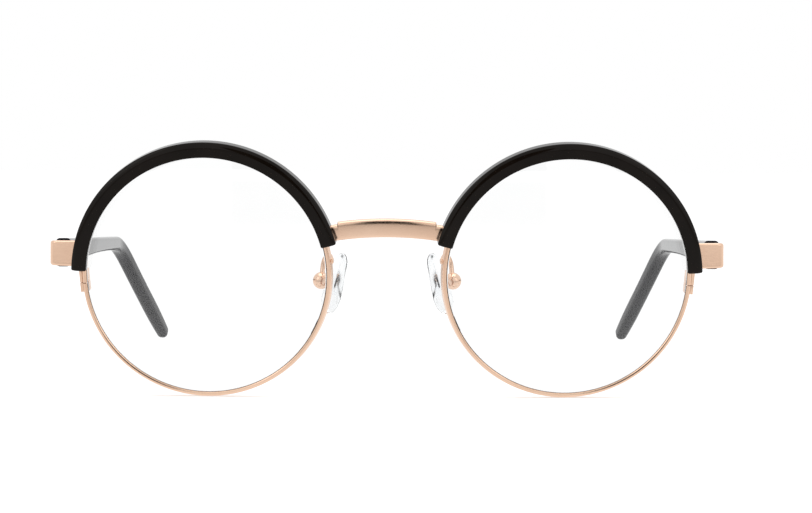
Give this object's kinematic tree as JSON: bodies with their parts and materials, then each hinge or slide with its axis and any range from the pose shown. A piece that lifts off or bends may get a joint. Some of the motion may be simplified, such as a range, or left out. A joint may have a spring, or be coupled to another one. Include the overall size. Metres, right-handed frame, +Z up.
{
  "type": "eyeglass frame",
  "caption": "Round combination spectacle frame: rose-gold metal rims under black acetate brow arcs, an arched bridge, clear nose pads and folding black acetate temples.",
  "frame": {"origin": "on the table under the middle of the frame's bounding box, with the rim bottoms and the temple tips on z = 0", "axes": "-Y forward out of the lenses, +Z up, +X towards the wearer's left, which is the right of the picture"},
  "size_m": [0.137, 0.1508, 0.0524],
  "materials": {
    "rose_gold": "polished rose-gold plating with faint brushing",
    "screw_metal": "polished plated screw metal",
    "core_steel": "drawn wire, hidden inside the temple",
    "brow_acetate": "polished black acetate",
    "temple_acetate": "polished black acetate",
    "lens_clear": "clear plano lens",
    "pad_silicone": "clear glossy silicone",
    "insert_plastic": "clear moulded plastic tab"
  },
  "bodies": {
    "front": {"bridge": "rose_gold", "rim_left": "rose_gold", "rim_right": "rose_gold", "lens_left": "lens_clear", "lens_right": "lens_clear", "brow_left": "brow_acetate", "brow_right": "brow_acetate", "brow_screws_left": "screw_metal", "brow_screws_right": "screw_metal", "endpiece_left": "rose_gold", "endpiece_right": "rose_gold", "lock_upper_left": "rose_gold", "lock_upper_right": "rose_gold", "lock_lower_left": "rose_gold", "lock_lower_right": "rose_gold", "lock_screw_left": "screw_metal", "lock_screw_right": "screw_metal", "front_leaf_left": "rose_gold", "front_leaf_right": "rose_gold", "hinge_screw_left": "screw_metal", "hinge_screw_right": "screw_metal", "pad_arm_left": "rose_gold", "pad_arm_right": "rose_gold", "pad_box_left": "rose_gold", "pad_box_right": "rose_gold", "pad_screw_left": "screw_metal", "pad_screw_right": "screw_metal"},
    "temple_left": {"temple_left": "temple_acetate", "temple_leaf_left": "rose_gold", "leaf_rivets_left": "screw_metal", "core_wire_left": "core_steel"},
    "pad_left": {"nose_pad_left": "pad_silicone", "pad_insert_left": "insert_plastic"},
    "temple_right": {"temple_right": "temple_acetate", "temple_leaf_right": "rose_gold", "leaf_rivets_right": "screw_metal", "core_wire_right": "core_steel"},
    "pad_right": {"nose_pad_right": "pad_silicone", "pad_insert_right": "insert_plastic"}
  },
  "joints": [
    {"name": "temple_left_fold", "type": "hinge", "parent": "front", "child": "temple_left", "pos_m": [0.0633, -0.05798, 0.02892], "axis": [0, 0.0476, 0.9989], "range_deg": [0, 89]},
    {"name": "temple_right_fold", "type": "hinge", "parent": "front", "child": "temple_right", "pos_m": [-0.0633, -0.05798, 0.02892], "axis": [0, -0.0476, -0.9989], "range_deg": [0, 82]},
    {"name": "pad_left_rock", "type": "hinge", "parent": "front", "child": "pad_left", "pos_m": [0.0135, -0.06352, 0.02378], "axis": [0.5, 0.8567, 0.1265], "range_deg": [-10, 10]},
    {"name": "pad_right_rock", "type": "hinge", "parent": "front", "child": "pad_right", "pos_m": [-0.0135, -0.06352, 0.02378], "axis": [0.5, -0.8567, -0.1265], "range_deg": [-10, 10]}
  ]
}
